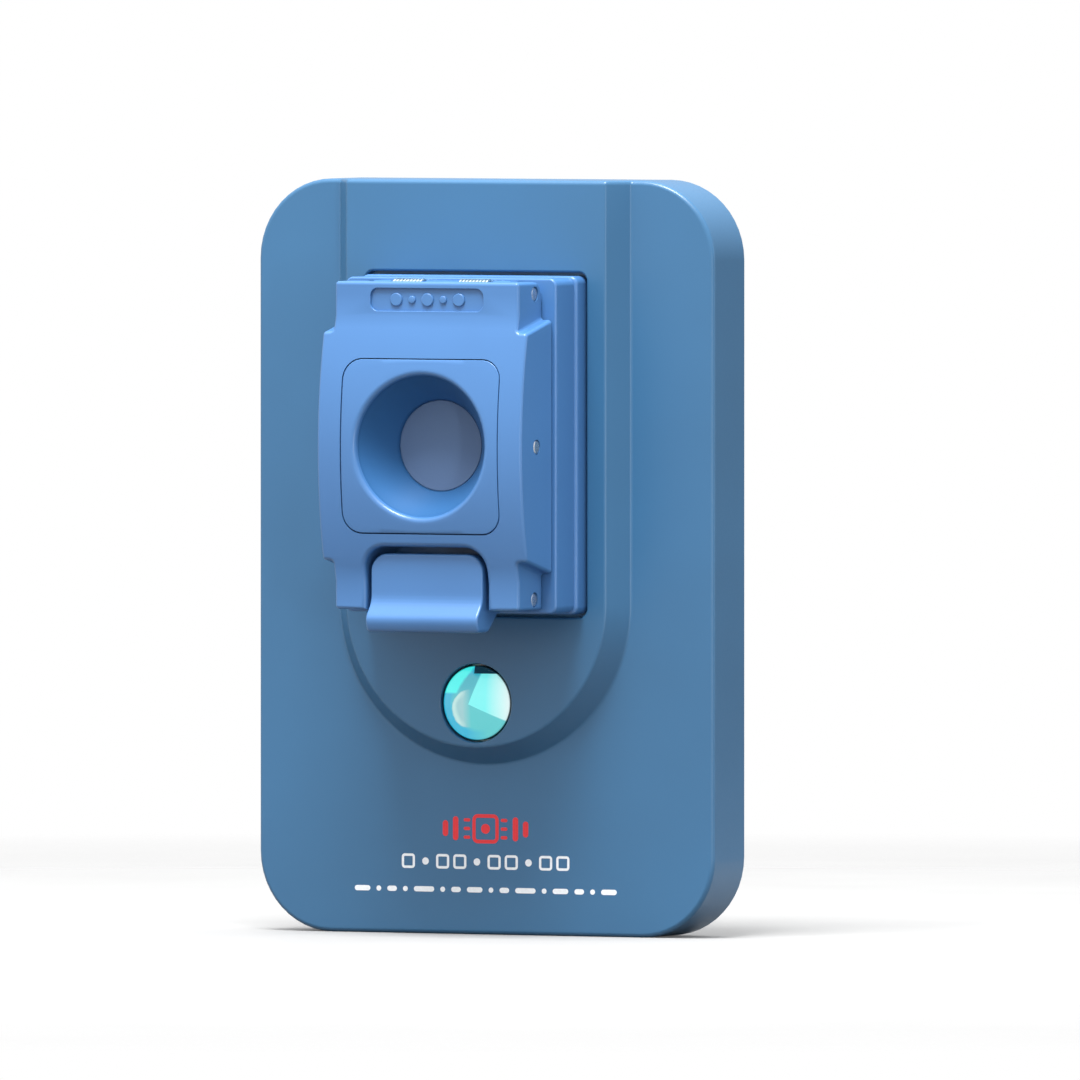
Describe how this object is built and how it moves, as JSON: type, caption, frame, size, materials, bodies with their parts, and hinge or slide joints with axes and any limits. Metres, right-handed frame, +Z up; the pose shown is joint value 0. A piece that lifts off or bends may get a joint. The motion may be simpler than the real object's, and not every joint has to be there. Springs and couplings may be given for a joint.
{
  "type": "memory chip programmer with clamshell socket",
  "caption": "Flat box that stands on its short end, with a clamshell test socket on a raised U-shaped pad, a hinged lid with a latch lever, and a light-up push button.",
  "frame": {"origin": "middle of the bottom end face, halfway through the thickness of the box", "axes": "+Z up along the box, front face and socket towards -Y, +X to the right seen from the front"},
  "size_m": [0.076, 0.0347, 0.1134],
  "materials": {
    "box_blue": "satin blue moulding with a fine grain",
    "socket_blue": "satin violet-blue moulding",
    "clear_cyan": "clear cyan moulding",
    "steel": "ground",
    "spring_steel": "drawn wire",
    "rubber": "matte",
    "board_green": "solder mask",
    "moulding_black": "matte",
    "moulding_amber": "satin",
    "pad_grey": "satin",
    "led_white": "gloss",
    "print_white": "pad print",
    "print_red": "pad print"
  },
  "bodies": {
    "enclosure": {"front_cover": "box_blue", "rear_cover": "box_blue", "cover_screw_1": "steel", "cover_screw_2": "steel", "cover_screw_3": "steel", "cover_screw_4": "steel", "rubber_foot_1": "rubber", "rubber_foot_2": "rubber", "rubber_foot_3": "rubber", "rubber_foot_4": "rubber", "main_board": "board_green", "usb_c_receptacle": "steel", "controller_chip": "moulding_black", "power_regulator": "moulding_black", "status_led": "led_white", "button_switch": "moulding_black", "socket_base": "socket_blue", "socket_screw_1": "steel", "socket_screw_2": "steel", "socket_screw_3": "steel", "socket_screw_4": "steel", "contact_block": "moulding_amber", "hinge_spring_left": "spring_steel", "hinge_spring_right": "spring_steel"},
    "button": {"button_cap": "clear_cyan"},
    "nest": {"chip_nest": "moulding_black", "nest_spring_1": "steel", "nest_spring_2": "steel", "nest_spring_3": "steel", "nest_spring_4": "steel"},
    "lid": {"socket_lid": "socket_blue", "hinge_pin": "steel", "latch_pin": "steel", "pusher_pin_left": "steel", "pusher_pin_right": "steel"},
    "pusher_block": {"pusher": "socket_blue", "pressure_pad": "pad_grey"},
    "latch": {"latch_lever": "socket_blue", "latch_spring": "spring_steel"}
  },
  "joints": [
    {"name": "lid_hinge", "type": "hinge", "parent": "enclosure", "child": "lid", "pos_m": [0, -0.0199, 0.0966], "axis": [-1, 0, 0], "range_deg": [0, 100]},
    {"name": "latch_pivot", "type": "hinge", "parent": "lid", "child": "latch", "pos_m": [0, -0.02, 0.0509], "axis": [-1, 0, 0], "range_deg": [0, 12], "stiffness_Nm_per_rad": 0.02},
    {"name": "pusher_rock", "type": "hinge", "parent": "lid", "child": "pusher_block", "pos_m": [0, -0.0228, 0.0738], "axis": [1, 0, 0], "range_deg": [-1.5, 1.5], "stiffness_Nm_per_rad": 0.02},
    {"name": "nest_float", "type": "slide", "parent": "enclosure", "child": "nest", "axis": [0, 1, 0], "range_m": [0, 0.0005], "stiffness_N_per_m": 600},
    {"name": "button_press", "type": "slide", "parent": "enclosure", "child": "button", "axis": [0, 1, 0], "range_m": [0, 0.0005], "stiffness_N_per_m": 500}
  ]
}
